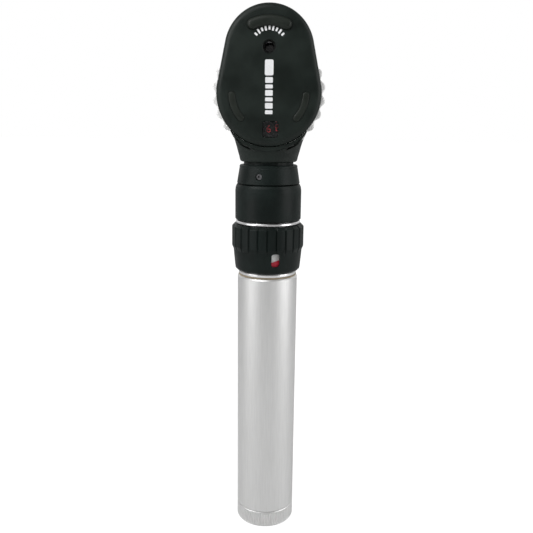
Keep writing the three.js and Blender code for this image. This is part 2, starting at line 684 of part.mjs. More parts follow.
// ---------- lens wheel ----------
function wheelRim() {
  const outline = toothedShape(WHEEL_R, SCALLOP_DEPTH, WHEEL_SCALLOPS, 6, Math.PI);
  const hole = new THREE.Path();
  hole.absarc(0, 0, RIM_BORE_R, 0, 2 * Math.PI, true);
  outline.holes.push(hole);
  return plate(outline, RIM_FRONT_Y, RIM_BACK_Y, 18).translate(0, 0, WHEEL_Z);
}

function lensCarrier() {
  const holes = [];
  for (let i = 0; i < WHEEL_SCALLOPS; i++) {
    const a = 2 * Math.PI * i / WHEEL_SCALLOPS;
    const hole = disc(1.45, -9, -5, 6).translate(LENS_CIRCLE_R * Math.cos(a), LENS_CIRCLE_R * Math.sin(a), 0);
    holes.push(hole);
  }
  const flat = cut(ring(2.1, RIM_BORE_R - FIT, RIM_FRONT_Y + 0.4, RIM_BACK_Y - 0.4), ...holes);
  return closed(alongY(flat, 0, WHEEL_Z));
}

function dioptreScale() {
  return closed(alongY(ring(9.4, 12.2, RIM_FRONT_Y + 0.05, RIM_FRONT_Y + 0.3, 24), 0, WHEEL_Z));
}

function lensRing() {
  return closed(alongY(ring(12.5, 15.3, RIM_BACK_Y - 0.3, RIM_BACK_Y + 0.1, 24), 0, WHEEL_Z));
}

function wheelAxle() {
  const axle = turned([
    [0, COVER_FACE_Y + 1.5], [1.1, COVER_FACE_Y + 1.5], [1.1, SLOT_FRONT_Y + 0.15], [2, SLOT_FRONT_Y + 0.15],
    [2, SLOT_BACK_Y - 0.1], [1.4, SLOT_BACK_Y - 0.1], [1.4, CAVITY_BACK_Y + 0.2], [0, CAVITY_BACK_Y + 0.2],
  ], 20);
  return alongY(axle, 0, WHEEL_Z);
}

function detentBall() {
  return closed(new THREE.SphereGeometry(DETENT_BALL_R, 12, 8).translate(0, DETENT_Y, DETENT_Z));
}

function detentSpring() {
  return coil(new Helix(0.9, 0.9, DETENT_Z + 1.8, DETENT_Z + 5.3, 4), 0.14, 2, 7).translate(0, DETENT_Y, 0);
}

// ---------- aperture dial ----------
function stopPlace(i) {
  const a = -Math.PI / 2 + 2 * Math.PI * i / DIAL_STOPS.length;
  return [DIAL_Y * Math.cos(a), DIAL_Y + DIAL_Y * Math.sin(a)];
}

function apertureDial() {
  const outline = toothedShape(DIAL_R, 0.3, 30, 2, 0);
  const core = slab(outline, 0, DIAL_TOP - DIAL_FOOT).translate(0, DIAL_Y, DIAL_FOOT);
  const holes = DIAL_STOPS.map((r, i) => (
    disc(r, DIAL_FOOT - 1, DIAL_TOP + 1, 12).translate(...stopPlace(i), 0)
  ));
  const bore = disc(0.92, DIAL_FOOT - 1, DIAL_TOP + 1, 16).translate(0, DIAL_Y, 0);
  return cut(core, bore, ...holes);
}

function redFreeFilter() {
  const [x, y] = stopPlace(RED_FREE_STOP);
  return disc(1.9, DIAL_FOOT + 0.6, DIAL_TOP - 0.6, 16).translate(x, y, 0);
}

// ---------- assembly ----------
body(['end_cap', endCap(), silver]);
body(['battery_spring', batterySpring(), steel]);
body(
  ['battery_tube', batteryTube(), silver],
  ['tube_liner', ring(CELL_R + 0.25, LINER_R, CAP_SPIGOT_TOP + 0.4, 108.4, 24), black],
  ['battery_lower', cell(CELL_FOOT), wrap],
  ['battery_upper', cell(CELL_FOOT + CELL_LENGTH + GAP), wrap],
  ['tube_gasket', ring(SKIRT_R + GAP, HANDLE_R - 0.35, TUBE_TOP + FIT, TUBE_TOP + 0.5), rubber],
  ['tube_bezel', ring(SKIRT_R + GAP, HANDLE_R - 0.4, TUBE_TOP + 0.6, TUBE_TOP + 1.6), bright],
  ['head_coupling', headCoupling(), bright],
  ['indicator_sleeve', ring(SKIRT_R + GAP, 10.1, COLLAR_FOOT + 0.7, 104.4), pale],
  ['indicator_band', indicatorBand(10.2, 10.45), red],
  ['rheostat_track', ring(SKIRT_R + GAP, 10.1, 105, 110.8, 24), brass],
  ['battery_contact', disc(5, 108.7, 109.2), brass],
  ['contact_insulator', contactInsulator(), pale],
  ['contact_spring', coil(new Helix(2, 2, 110, 112.4, 4), 0.22, 2, 8), steel],
);
body(
  ['control_collar', controlCollar(), black],
  ['rheostat_wiper', rheostatWiper(), brass],
);
body(['contact_pin', contactPin(), brass]);
body(['base_collar', baseCollar(), black]);
body(
  ['head_sleeve', headSleeve(), black],
  ['neck_ring', neckRing(), black],
  ['neck_grub_screw', grubScrew(), steel],
  ['lamp_base', lampBase(), steel],
  ['lamp_bulb', lampBulb(), glass],
  ['lamp_insulator', ring(1.7, 3.6, 118, 118.4, 20), black],
  ['lamp_tip', disc(1.4, 117.6, 118.4, 16), brass],
  ['rear_cover', rearCover(), black],
  ...PADS.map((pad) => [pad.name, padPiece(pad), rubber]),
  ['readout_window', readoutWindow(), glass],
  ['eyepiece_plate', eyepiecePlate(), black],
  ['front_housing', frontHousing(), black],
  ['cover_screw_left', coverScrew(-1), steel],
  ['cover_screw_right', coverScrew(1), steel],
  ['window_bezel', windowBezel(), black],
  ['front_window', frontWindow(), glass],
  ['optic_chassis', opticChassis(), black],
  ['condenser_lens', condenserLens(), glass],
  ['optic_tube', opticTube(), black],
  ['projection_lens', projectionLens(), glass],
  ['dial_axle', dialAxle(), steel],
  ['mirror', mirror(), bright],
  ['mirror_bracket', mirrorBracket(), black],
  ['sight_tube', sightTube(), black],
  ['wheel_axle', wheelAxle(), steel],
  ['detent_ball', detentBall(), steel],
  ['detent_spring', detentSpring(), steel],
);
body(
  ['wheel_rim', wheelRim(), pale],
  ['lens_carrier', lensCarrier(), black],
  ['dioptre_scale', dioptreScale(), black],
  ['lens_ring', lensRing(), glass],
);
body(
  ['aperture_dial', apertureDial(), black],
  ['red_free_filter', redFreeFilter(), green],
);

export default object;
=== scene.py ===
"""Looks for the ophthalmoscope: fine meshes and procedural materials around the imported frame."""
import json
import math

import bmesh
import bpy
from mathutils import Matrix, Vector


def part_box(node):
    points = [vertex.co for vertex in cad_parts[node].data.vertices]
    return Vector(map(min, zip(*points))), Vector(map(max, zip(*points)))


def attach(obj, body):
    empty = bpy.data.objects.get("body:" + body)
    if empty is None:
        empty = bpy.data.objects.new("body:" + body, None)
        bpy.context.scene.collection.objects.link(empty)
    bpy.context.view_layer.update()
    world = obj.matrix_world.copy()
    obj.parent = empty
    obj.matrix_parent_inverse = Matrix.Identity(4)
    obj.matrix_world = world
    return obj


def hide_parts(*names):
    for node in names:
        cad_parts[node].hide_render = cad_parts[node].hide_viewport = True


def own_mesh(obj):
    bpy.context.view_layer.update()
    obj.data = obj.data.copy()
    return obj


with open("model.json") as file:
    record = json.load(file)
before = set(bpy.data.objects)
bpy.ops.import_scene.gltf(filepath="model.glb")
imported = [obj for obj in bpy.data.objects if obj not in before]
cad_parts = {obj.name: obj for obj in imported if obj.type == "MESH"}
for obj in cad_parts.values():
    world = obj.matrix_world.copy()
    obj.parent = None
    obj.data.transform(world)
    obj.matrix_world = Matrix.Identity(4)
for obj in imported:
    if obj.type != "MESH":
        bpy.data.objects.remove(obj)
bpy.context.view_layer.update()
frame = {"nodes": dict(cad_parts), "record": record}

MM = 0.001
SEGMENTS = 144             # facets of a large turned piece
FULL_TURN = 2 * math.pi
WORLD_LIGHT = (0.2, 0.75)  # grey light from in front of the object, and from behind it
LIGHTS = (                 # name, place, target, size in metres, brightness in W/m2 per steradian
    ("left panel", (-0.52, -0.3, 0.25), (0, 0, 0.12), (0.4, 0.8), 1.8),
    ("right panel", (0.55, -0.2, 0.22), (0, 0, 0.1), (0.4, 0.8), 2.3),
    ("high panel", (-0.25, -0.5, 0.75), (0, 0, 0.15), (0.5, 0.4), 3.0),
    ("head panel", (-0.1, -0.09, 0.23), (-0.01, 0, 0.17), (0.05, 0.05), 9.0),
)


# ---------- reading the frame, in millimetres ----------
class Box:
    """Bounds of a CAD node; radius is right for a turned piece on the Z axis."""

    def __init__(self, node):
        lo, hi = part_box(node)
        self.x0, self.y0, self.z0 = lo / MM
        self.x1, self.y1, self.z1 = hi / MM
        self.middle = (lo + hi) / MM / 2
        self.radius = self.x1


COVER = Box("rear_cover")
HOUSING = Box("front_housing")
EYE_Z = Box("eyepiece_plate").middle.z
WHEEL_Z = Box("wheel_axle").middle.z
BELLY_R = WHEEL_Z - COVER.z0  # the head's outline has a belly about the wheel's axle
CROWN_R = BELLY_R - 2.63      # and a narrower crown
CROWN_Z = COVER.z1 - CROWN_R
SLOT_FRONT = -9.0             # the slot for the lens wheel, front and back
SLOT_BACK = -5.4
WHEEL_R = BELLY_R + 1.37      # the wheel's finger rim stands out from the head
RIM_BORE_R = 15.6
SLOT_R = WHEEL_R + 0.65
LENSES = 24                   # lenses in the wheel, each with a tooth and a number
LENS_SHOWN = 18               # the lens whose number stands in the readout window
FIRST_RED = 12                # numbers from this one on are red
BATTERY_BORE_R = 8.2          # bore of the cap, tube and coupling
SPIGOT_R = 9.3                # spigots of the cap and coupling
TUBE_BORE_R = 9.6             # bore of the tube where a spigot enters it
CAP_TOP = 5.9
FLANGE = (112.7, 113.6)       # bright flange of the coupling, foot and top
WINDOW_ANGLE = 14.4           # brightness window, degrees from the front towards +X
WINDOW_SPAN = (99.2, 103.4)   # and its foot and top
SLEEVE_GROWTH = 0.25          # brings the sleeve closer behind that window


# ---------- mesh helpers ----------
def sharpen(mesh, angle):
    """Shades the mesh smooth, apart from edges sharper than an angle in degrees."""
    for face in mesh.polygons:
        face.use_smooth = True
    mesh.set_sharp_from_angle(angle=math.radians(angle))


def add_object(name, bm, sharp=32):
    bmesh.ops.recalc_face_normals(bm, faces=bm.faces)
    mesh = bpy.data.meshes.new(name)
    bm.to_mesh(mesh)
    bm.free()
    mesh.transform(Matrix.Scale(MM, 4))
    sharpen(mesh, sharp)
    obj = bpy.data.objects.new(name, mesh)
    bpy.context.scene.collection.objects.link(obj)
    return obj


def fillet(points, radius, steps=4):
    """Rounds a closed outline's corners; a short support edge on each side keeps the shading true."""
    count = len(points)
    result = []
    for i, point in enumerate(points):
        here = Vector(point)
        before, after = Vector(points[i - 1]), Vector(points[(i + 1) % count])
        back, ahead = before - here, after - here
        if back.length < 1e-6 or ahead.length < 1e-6 or here.x < 1e-6:
            result.append(tuple(here))
            continue
        turn = math.pi - back.angle(ahead)
        reach = min(radius * math.tan(turn / 2), back.length * 0.42, ahead.length * 0.42)
        support = min(reach * 0.5, back.length * 0.05, ahead.length * 0.05)
        start = here + back.normalized() * reach
        end = here + ahead.normalized() * reach
        result.append(tuple(start + back.normalized() * support))
        for k in range(steps + 1):
            t = k / steps
            spot = start * (1 - t) ** 2 + here * 2 * t * (1 - t) + end * t ** 2
            result.append(tuple(spot))
        result.append(tuple(end + ahead.normalized() * support))
    return result


def refine(points, step):
    """Splits long runs of a profile so that a pattern along z has points to follow."""
    result = []
    for i, point in enumerate(points):
        here, after = Vector(point), Vector(points[(i + 1) % len(points)])
        parts = max(1, int((after - here).length / step))
        result += [tuple(here.lerp(after, k / parts)) for k in range(parts)]
    return result


def lathe(name, profile, segments=SEGMENTS, pattern=None, sharp=32):
    """Turned piece about Z from a closed [r, z] profile; pattern(angle, r, z) gives its radius."""
    bm = bmesh.new()
    rings = []
    for r, z in profile:
        if r < 1e-6:
            rings.append([bm.verts.new((0, 0, z))])
            continue
        ring = []
        for i in range(segments):
            angle = FULL_TURN * i / segments
            reach = pattern(angle, r, z) if pattern else r
            ring.append(bm.verts.new((reach * math.cos(angle), reach * math.sin(angle), z)))
        rings.append(ring)
    for k, ring in enumerate(rings):
        after = rings[(k + 1) % len(rings)]
        for i in range(segments):
            j = (i + 1) % segments
            corners = [ring[i % len(ring)], ring[j % len(ring)],
                       after[j % len(after)], after[i % len(after)]]
            unique = list(dict.fromkeys(corners))
            if len(unique) > 2:
                bm.faces.new(unique)
    return add_object(name, bm, sharp)


def loft(name, rings, sharp=32, caps=True):
    """Skin through closed rings of points with equal counts, with a fan at each end."""
    bm = bmesh.new()
    rows = [[bm.verts.new(point) for point in ring] for ring in rings]
    for row, after in zip(rows, rows[1:]):
        for i in range(len(row)):
            j = (i + 1) % len(row)
            bm.faces.new((row[i], row[j], after[j], after[i]))
    if caps:
        for row in (rows[0], rows[-1]):
            bm.faces.new(row)
    return add_object(name, bm, sharp)


def boolean(obj, tool, operation="DIFFERENCE"):
    modifier = obj.modifiers.new("boolean", "BOOLEAN")
    modifier.operation = operation
    modifier.solver = "EXACT"
    modifier.object = tool
    bake(obj)
    bpy.data.objects.remove(tool)


def bake(obj):
    """Applies the object's modifiers to its mesh."""
    graph = bpy.context.evaluated_depsgraph_get()
    graph.update()
    mesh = bpy.data.meshes.new_from_object(obj.evaluated_get(graph))
    obj.modifiers.clear()
    obj.data = mesh


def loft_ring(name, rings):
    """Skin through closed rings of points, with the last ring joined to the first."""
    obj = loft(name, rings + [rings[0]], caps=False)
    bm = bmesh.new()
    bm.from_mesh(obj.data)
    bmesh.ops.remove_doubles(bm, verts=bm.verts, dist=1e-7)
    bmesh.ops.recalc_face_normals(bm, faces=bm.faces)
    bm.to_mesh(obj.data)
    bm.free()
    return obj


def arc(cx, cz, r, start, end, steps):
    turn = [start + (end - start) * i / steps for i in range(steps + 1)]
    return [(cx + r * math.cos(a), cz + r * math.sin(a)) for a in turn]


def circle(cx, cz, r, steps=64):
    return arc(cx, cz, r, 0, FULL_TURN, steps)[:-1]


def at_depth(outline, y):
    """Stands an [x, z] outline up at a depth."""
    return [(x, y, z) for x, z in outline]


def egg(inset, steps=60):
    """The head's outline, drawn in by inset: a crown circle, a belly circle and their tangents."""
    lean = math.asin((BELLY_R - CROWN_R) / (CROWN_Z - WHEEL_Z))
    crown = arc(0, CROWN_Z, CROWN_R - inset, lean, math.pi - lean, steps)
    belly = arc(0, WHEEL_Z, BELLY_R - inset, math.pi - lean, FULL_TURN + lean, int(steps * 1.4))
    side = 14
    left = [tuple(Vector(crown[-1]).lerp(Vector(belly[0]), k / side)) for k in range(1, side)]
    right = [tuple(Vector(belly[-1]).lerp(Vector(crown[0]), k / side)) for k in range(1, side)]
    return crown + left + belly + right


def egg_loft(name, sections, sharp=32):
    return loft(name, [at_depth(egg(inset), y) for y, inset in sections], sharp)


def bean(z, r, width, start, end, steps=28):
    """Outline along an arc with round ends; angles in degrees about (0, z)."""
    a0, a1 = math.radians(start), math.radians(end)
    half = width / 2
    outer = arc(0, z, r + half, a0, a1, steps)
    inner = arc(0, z, r - half, a1, a0, steps)
    tip = (r * math.cos(a1), z + r * math.sin(a1))
    tail = (r * math.cos(a0), z + r * math.sin(a0))
    return (outer + arc(*tip, half, a1, a1 + math.pi, 12)[1:-1]
            + inner + arc(*tail, half, a0 + math.pi, a0 + FULL_TURN, 12)[1:-1])


def rounded_rect(cx, cz, width, height, radius, steps=6):
    w, h = width / 2 - radius, height / 2 - radius
    points = []
    for k, (sx, sz) in enumerate(((1, 1), (-1, 1), (-1, -1), (1, -1))):
        start = k * math.pi / 2
        points += arc(cx + sx * w, cz + sz * h, radius, start, start + math.pi / 2, steps)
    return points


def prism(name, outline, y0, y1):
    return loft(name, [at_depth(outline, y) for y in (y0, y1)])


def rod_y(name, x, z, r, y0, y1, segments=64):
    return prism(name, circle(x, z, r, segments), y0, y1)


# ---------- materials ----------
class Material:
    def __init__(self, name, color, metallic=0.0, roughness=0.5, **inputs):
        self.data = bpy.data.materials.new(name)
        self.data.use_nodes = True
        self.tree = self.data.node_tree
        self.bsdf = self.tree.nodes["Principled BSDF"]
        self.color = color
        self.bsdf.inputs["Base Color"].default_value = (*color, 1)
        self.bsdf.inputs["Metallic"].default_value = metallic
        self.bsdf.inputs["Roughness"].default_value = roughness
        for key, value in inputs.items():
            self.bsdf.inputs[key.replace("_", " ")].default_value = value

    def node(self, kind, **values):
        node = self.tree.nodes.new("ShaderNode" + kind)
        for key, value in values.items():
            if key in node.inputs:
                node.inputs[key].default_value = value
            else:
                setattr(node, key, value)
        return node

    def link(self, source, target):
        self.tree.links.new(source, target)

    def noise(self, scale, detail=3.0, stretch=(1, 1, 1)):
        """Noise in object space; scale is the size of a feature in mm."""
        coordinates = self.node("TexCoord")
        mapping = self.node("Mapping")
        mapping.inputs["Scale"].default_value = stretch
        texture = self.node("TexNoise", Scale=1 / (scale * MM), Detail=detail)
        self.link(coordinates.outputs["Object"], mapping.inputs["Vector"])
        self.link(mapping.outputs["Vector"], texture.inputs["Vector"])
        return texture.outputs["Fac"]

    def ramp(self, value, low, high, start=0.35, end=0.65):
        node = self.node("MapRange")
        for key, number in zip(("From Min", "From Max", "To Min", "To Max"), (start, end, low, high)):
            node.inputs[key].default_value = number
        self.link(value, node.inputs["Value"])
        return node.outputs["Result"]

    def vary_color(self, value, other, start=0.35, end=0.65):
        mix = self.node("Mix", data_type="RGBA")
        mix.inputs[6].default_value = (*self.color, 1)
        mix.inputs[7].default_value = (*other, 1)
        self.link(self.ramp(value, 0, 1, start, end), mix.inputs[0])
        self.link(mix.outputs[2], self.bsdf.inputs["Base Color"])

    def vary_roughness(self, value, low, high):
        self.link(self.ramp(value, low, high), self.bsdf.inputs["Roughness"])

    def bump(self, value, distance):
        """Bump of a given height in mm."""
        node = self.node("Bump", Strength=1.0, Distance=distance * MM)
        self.link(value, node.inputs["Height"])
        previous = self.bsdf.inputs["Normal"].links
        if previous:
            self.link(previous[0].from_socket, node.inputs["Normal"])
        self.link(node.outputs["Normal"], self.bsdf.inputs["Normal"])


def moulded_plastic(name, color, roughness, grain=0.22, height=0.02, sheen=0.22):
    """Black moulded plastic: fine spark-eroded grain, slow change of sheen, faint handling marks."""
    material = Material(name, color, roughness=roughness)
    material.bsdf.inputs["Specular IOR Level"].default_value = sheen
    fine = material.noise(grain, 4)
    slow = material.noise(7, 2)
    material.vary_roughness(slow, roughness - 0.06, roughness + 0.08)
    material.vary_color(slow, tuple(c * 1.6 for c in color))
    material.bump(fine, height)
    return material.data


def satin_metal(name, color, roughness, grain=0.16):
    """Bead-blasted and anodised aluminium, with a slight drawn grain along the tube."""
    material = Material(name, color, 1.0, roughness)
    speckle = material.noise(grain, 3)
    drawn = material.noise(0.5, 3, (1, 1, 0.06))
    material.vary_roughness(speckle, roughness - 0.07, roughness + 0.09)
    material.vary_color(drawn, tuple(min(1, c * 1.05) for c in color))
    material.bump(speckle, 0.006)
    material.bump(drawn, 0.003)
    return material.data


def turned_metal(name, color, roughness):
    """Bright turned metal: fine rings left by the tool."""
    material = Material(name, color, 1.0, roughness)
    rings = material.noise(0.12, 2, (0.02, 0.02, 1))
    material.vary_roughness(rings, roughness - 0.04, roughness + 0.06)
    material.bump(rings, 0.002)
    return material.data


def rubber(name, color, roughness):
    material = Material(name, color, roughness=roughness)
    material.bsdf.inputs["Specular IOR Level"].default_value = 0.25
    fine = material.noise(0.3, 4)
    slow = material.noise(3, 2)
    material.vary_roughness(slow, roughness - 0.06, roughness + 0.08)
    material.vary_color(slow, tuple(c * 1.25 for c in color))
    material.bump(fine, 0.015)
    return material.data


def smooth_plastic(name, color, roughness, **inputs):
    material = Material(name, color, roughness=roughness, **inputs)
    slow = material.noise(4, 3)
    material.vary_roughness(slow, roughness - 0.05, roughness + 0.07)
    material.vary_color(slow, tuple(c * 0.95 for c in color))
    material.bump(material.noise(0.4, 2), 0.003)
    return material.data


def clear_glass(name, color):
    """Polished glass that lets light fall on what lies behind it."""
    roughness = 0.03
    material = Material(name, color, roughness=roughness)
    material.bsdf.inputs["Transmission Weight"].default_value = 1.0
    material.bsdf.inputs["IOR"].default_value = 1.5
    haze = material.noise(2.5, 3)
    material.vary_roughness(haze, roughness, roughness + 0.05)
    let_through = material.node("BsdfTransparent", Color=(*color, 1))
    mix = material.node("MixShader")
    material.link(material.node("LightPath").outputs["Is Shadow Ray"], mix.inputs[0])
    material.link(material.bsdf.outputs[0], mix.inputs[1])
    material.link(let_through.outputs[0], mix.inputs[2])
    material.link(mix.outputs[0], material.tree.nodes["Material Output"].inputs["Surface"])
    return material.data


def paint(name, color):
    """Pad-printed ink: thin, slightly uneven."""
    material = Material(name, color, roughness=0.45)
    speckle = material.noise(0.15, 3)
    material.vary_color(speckle, tuple(c * 0.82 for c in color), 0.45, 0.75)
    material.bump(speckle, 0.006)
    return material.data


BLACK = (0.0056, 0.0088, 0.0072)
MATERIALS = {
    "head_plastic": moulded_plastic("head_plastic", BLACK, 0.42),
    "black_collar": moulded_plastic("black_collar", (0.0046, 0.0076, 0.0068), 0.4,
                                    grain=0.18, height=0.012, sheen=0.14),
    "black_plastic": moulded_plastic("black_plastic", (0.01, 0.0115, 0.0105), 0.6),
    "dial_black": moulded_plastic("dial_black", (0.014, 0.015, 0.0145), 0.45),
    "scale_black": moulded_plastic("scale_black", (0.006, 0.007, 0.0065), 0.65),
    "pad_rubber": rubber("pad_rubber", (0.008, 0.0112, 0.0082), 0.5),
    "seal_rubber": rubber("seal_rubber", (0.3, 0.25, 0.18), 0.6),
    "satin_silver": satin_metal("satin_silver", (0.74, 0.74, 0.735), 0.42),
    "bright_metal": turned_metal("bright_metal", (0.86, 0.86, 0.865), 0.2),
    "spring_steel": turned_metal("spring_steel", (0.58, 0.58, 0.59), 0.28),
    "dark_steel": turned_metal("dark_steel", (0.12, 0.12, 0.125), 0.35),
    "brass_contact": turned_metal("brass_contact", (0.78, 0.58, 0.28), 0.25),
    "mirror_glass": turned_metal("mirror_glass", (0.92, 0.92, 0.93), 0.04),
    "white_plastic": smooth_plastic("white_plastic", (0.93, 0.93, 0.92), 0.35),
    "red_mark": smooth_plastic("red_mark", (0.5, 0.012, 0.035), 0.35),
    "cell_wrap": smooth_plastic("cell_wrap", (0.02, 0.05, 0.16), 0.3),
    "wheel_white": smooth_plastic("wheel_white", (0.96, 0.96, 0.95), 0.3, Transmission_Weight=0.2),
    "clear_lens": clear_glass("clear_lens", (0.95, 0.97, 0.97)),
    "readout_pane": clear_glass("readout_pane", (0.8, 0.81, 0.81)),
    "coated_pane": clear_glass("coated_pane", (0.03, 0.034, 0.036)),
    "green_filter": clear_glass("green_filter", (0.1, 0.62, 0.28)),
    "white_print": paint("white_print", (0.8, 0.81, 0.82)),
    "red_print": paint("red_print", (0.8, 0.05, 0.06)),
}
SLOT_OF = {row["node"]: row["material_slot"] for row in frame["record"]["subparts"]}
BODIES = frame["record"]["behaviour"]["bodies"]
BODY_OF = {node: body for body, nodes in BODIES.items() for node in nodes}


def finish_piece(obj, node):
    """Gives a piece its finish and makes it stand for a CAD node."""
    slot = SLOT_OF[node]
    obj.data.materials.clear()
    obj.data.materials.append(MATERIALS[slot])
    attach(obj, BODY_OF[node])
    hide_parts(node)
    return obj


def add_detail(obj, body, material):
    """A printed mark or small detail that stands for no CAD node."""
    obj.data.materials.clear()
    obj.data.materials.append(MATERIALS[material])
    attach(obj, body)


# ---------- handle ----------
def thread(pitch, depth, z0, z1):
    """Radius pattern of a right-hand thread between two heights."""
    def radius(angle, r, z):
        if not z0 < z < z1:
            return r
        phase = (z / pitch - angle / FULL_TURN) % 1
        ease = min(1, (z - z0) / pitch, (z1 - z) / pitch)
        return r - depth * ease * abs(2 * phase - 1)
    return radius


def make_end_cap():
    box = Box("end_cap")
    top, spigot, r, floor = CAP_TOP, box.z1, box.radius, 1.6
    profile = fillet([(r - 0.3, box.z0), (r, 0.45), (r, top - 0.35), (r - 0.2, top), (SPIGOT_R, top),
                      (SPIGOT_R, spigot), (BATTERY_BORE_R, spigot), (BATTERY_BORE_R, floor)], 0.2, 3)
    grooves, groove_depth = 64, 0.28
    screw = thread(1.25, 0.45, top + 0.2, spigot - 0.2)

    def pattern(angle, reach, z):
        if reach > r - 0.25 and 0.5 < z < top - 0.3:
            ease = min(1, (z - 0.5) / 0.5, (top - 0.3 - z) / 0.4)
            return reach - groove_depth * ease * (0.5 - 0.5 * math.cos(grooves * angle)) ** 1.5
        return screw(angle, reach, z) if reach > 9 and z > top + 0.1 else reach

    profile = [(0, box.z0), *refine(profile, 0.22), (0, floor)]
    obj = lathe("end_cap_detail", profile, 512, pattern)
    finish_piece(obj, "end_cap")


def make_tube():
    box = Box("battery_tube")
    r, z0, z1 = box.radius, box.z0, box.z1
    step0, step1 = 10.9, 85.7  # the bore is narrower between these heights
    profile = fillet([(r - 0.12, z0), (r, z0 + 0.15), (r, z1 - 0.5), (r - 0.42, z1),
                      (TUBE_BORE_R, z1), (TUBE_BORE_R, step1), (BATTERY_BORE_R, step1),
                      (BATTERY_BORE_R, step0), (TUBE_BORE_R, step0), (TUBE_BORE_R, z0)], 0.12, 3)
    finish_piece(lathe("battery_tube_detail", profile), "battery_tube")


def make_ring(node, edge, grow=0.0):
    """A plain ring with rounded edges, at its CAD size or slightly larger round."""
    box = Box(node)
    r = box.radius + grow
    profile = fillet([(TUBE_BORE_R, box.z0), (r, box.z0), (r, box.z1), (TUBE_BORE_R, box.z1)], edge)
    finish_piece(lathe(node + "_detail", profile), node)


def make_coupling():
    box = Box("head_coupling")
    r, spigot = box.radius, SPIGOT_R
    flange0, flange1 = FLANGE
    throat, step = 6, 109.6    # the bore narrows at the step
    profile = fillet([(BATTERY_BORE_R, box.z0), (spigot, box.z0), (spigot, flange0), (r - 0.1, flange0),
                      (r, flange0 + 0.15), (r, flange1 - 0.3), (r - 0.25, flange1), (spigot, flange1),
                      (spigot, box.z1), (throat, box.z1), (throat, step),
                      (BATTERY_BORE_R, step)], 0.12, 3)
    profile = refine(profile, 0.25)
    screw = thread(2.0, 0.4, flange1 + 0.4, box.z1 - 0.3)

    def pattern(angle, reach, z):
        return screw(angle, reach, z) if 9 < reach < 9.4 and z > flange1 else reach

    finish_piece(lathe("head_coupling_detail", profile, SEGMENTS, pattern), "head_coupling")


def make_control_collar():
    box = Box("control_collar")
    r, z0, z1 = box.radius, box.z0, box.z1
    bore, low, mid = 10.75, 11.43, 11.83  # radius of the bore, the foot and the waist
    grip0, grip1, ribs = 104.7, 111.6, 24
    grip_foot = grip0 - 1.7
    profile = fillet([(bore, z0), (low - 0.7, z0), (low - 0.15, z0 + 0.55), (low, z0 + 1.5), (mid, 102),
                      (mid + 0.12, grip0 - 1.2), (r, grip0 + 0.1), (r, grip1 - 0.1), (r - 0.85, z1),
                      (9.7, z1), (9.7, z1 - 1), (bore, z1 - 1)], 0.3, 4)
    outer = refine(profile, 0.3)

    def pattern(angle, reach, z):
        if reach < 11.2 or z < grip_foot:
            return reach
        ease = min(1, (z - grip_foot) / 1.6)
        wave = abs(math.sin(ribs * angle / 2))
        groove = max(0, 1 - wave * 2.6) ** 0.8
        return reach - 0.42 * ease * groove

    obj = lathe("control_collar_detail", outer, 768, pattern, 40)
    width, height, bow = 2.9, 4.2, 0.35   # the window, whose foot bows down
    window = rounded_rect(0, 0, width, height, 0.75)
    window = [(x, z - bow * (1 - (x / (width / 2)) ** 2) if z < -1 else z) for x, z in window]
    centre = sum(WINDOW_SPAN) / 2
    tool = prism("window_tool", [(x, z + centre) for x, z in window], -14, -9)
    tool.data.transform(Matrix.Rotation(math.radians(WINDOW_ANGLE), 4, "Z"))
    boolean(obj, tool)
    sharpen(obj.data, 40)
    finish_piece(obj, "control_collar")


def make_indicator_band():
    """Red wedge on the white sleeve: its edge climbs as the collar is turned up."""
    box = Box("indicator_band")
    outer, inner, foot = box.radius + SLEEVE_GROWTH, box.radius - 0.25, box.z0
    start, end, steps = -35, 105, 140  # degrees either way from the window
    low, high, slope = 0.5, 5.5, 7.0   # height of the wedge
    rings = []
    for i in range(steps + 1):
        t = i / steps
        angle = math.radians(-90 + WINDOW_ANGLE + start + (end - start) * t)
        top = foot + min(high, low + slope * t)
        c, s = math.cos(angle), math.sin(angle)
        rings.append([(outer * c, outer * s, foot), (outer * c, outer * s, top),
                      (inner * c, inner * s, top), (inner * c, inner * s, foot)])
    finish_piece(loft("indicator_band_detail", rings), "indicator_band")


# ---------- neck ----------
def make_base_collar():
    box = Box("base_collar")
    r, z0, z1 = box.radius, box.z0, box.z1
    bore, neck_bore, relief = 9.4, 8.75, 9.8
    relief0, relief1 = 118.9, 121.4  # foot and top of the relief between the bores
    profile = fillet([(bore, z0), (r - 0.3, z0), (r, z0 + 0.35), (r, z1 - 2.2), (r - 0.17, z1 - 0.9),
                      (r - 0.55, z1), (neck_bore, z1), (neck_bore, relief1), (relief, relief1),
                      (relief, relief0), (bore, relief0)], 0.25)
    finish_piece(lathe("base_collar_detail", profile), "base_collar")


def make_neck_ring():
    box = Box("neck_ring")
    r, z0, z1 = box.radius, box.z0, box.z1
    bore = 8.6
    profile = fillet([(bore, z0), (r - 0.12, z0), (r, z0 + 0.2), (9.98, z1 - 1.15), (9.9, z1 - 0.95),
                      (9.95, z1 - 0.8), (9.9, z1 - 0.3), (9.6, z1), (bore, z1)], 0.1, 3)
    obj = lathe("neck_ring_detail", profile)
    spot = Box("neck_grub_screw").middle
    tool = rod_y("grub_tool", 0, spot.z, 1.15, -12, -8)
    tool.data.transform(Matrix.Rotation(math.atan2(spot.x, -spot.y), 4, "Z"))
    boolean(obj, tool)
    sharpen(obj.data, 35)
    finish_piece(obj, "neck_ring")


# ---------- head ----------
PADS = {                  # centre height, radius, width, start and end in degrees, rise
    "brow_pad_top": (EYE_Z - 5.3, 13, 3.3, 66, 114, 1.3),
    "brow_pad_left": (WHEEL_Z, 11.8, 2.1, 183, 221, 0.4),
    "brow_pad_right": (WHEEL_Z, 11.8, 2.1, 319, 357, 0.4),
}
SCREW_X, SCREW_Z = Box("cover_screw_right").middle.x, Box("cover_screw_right").middle.z


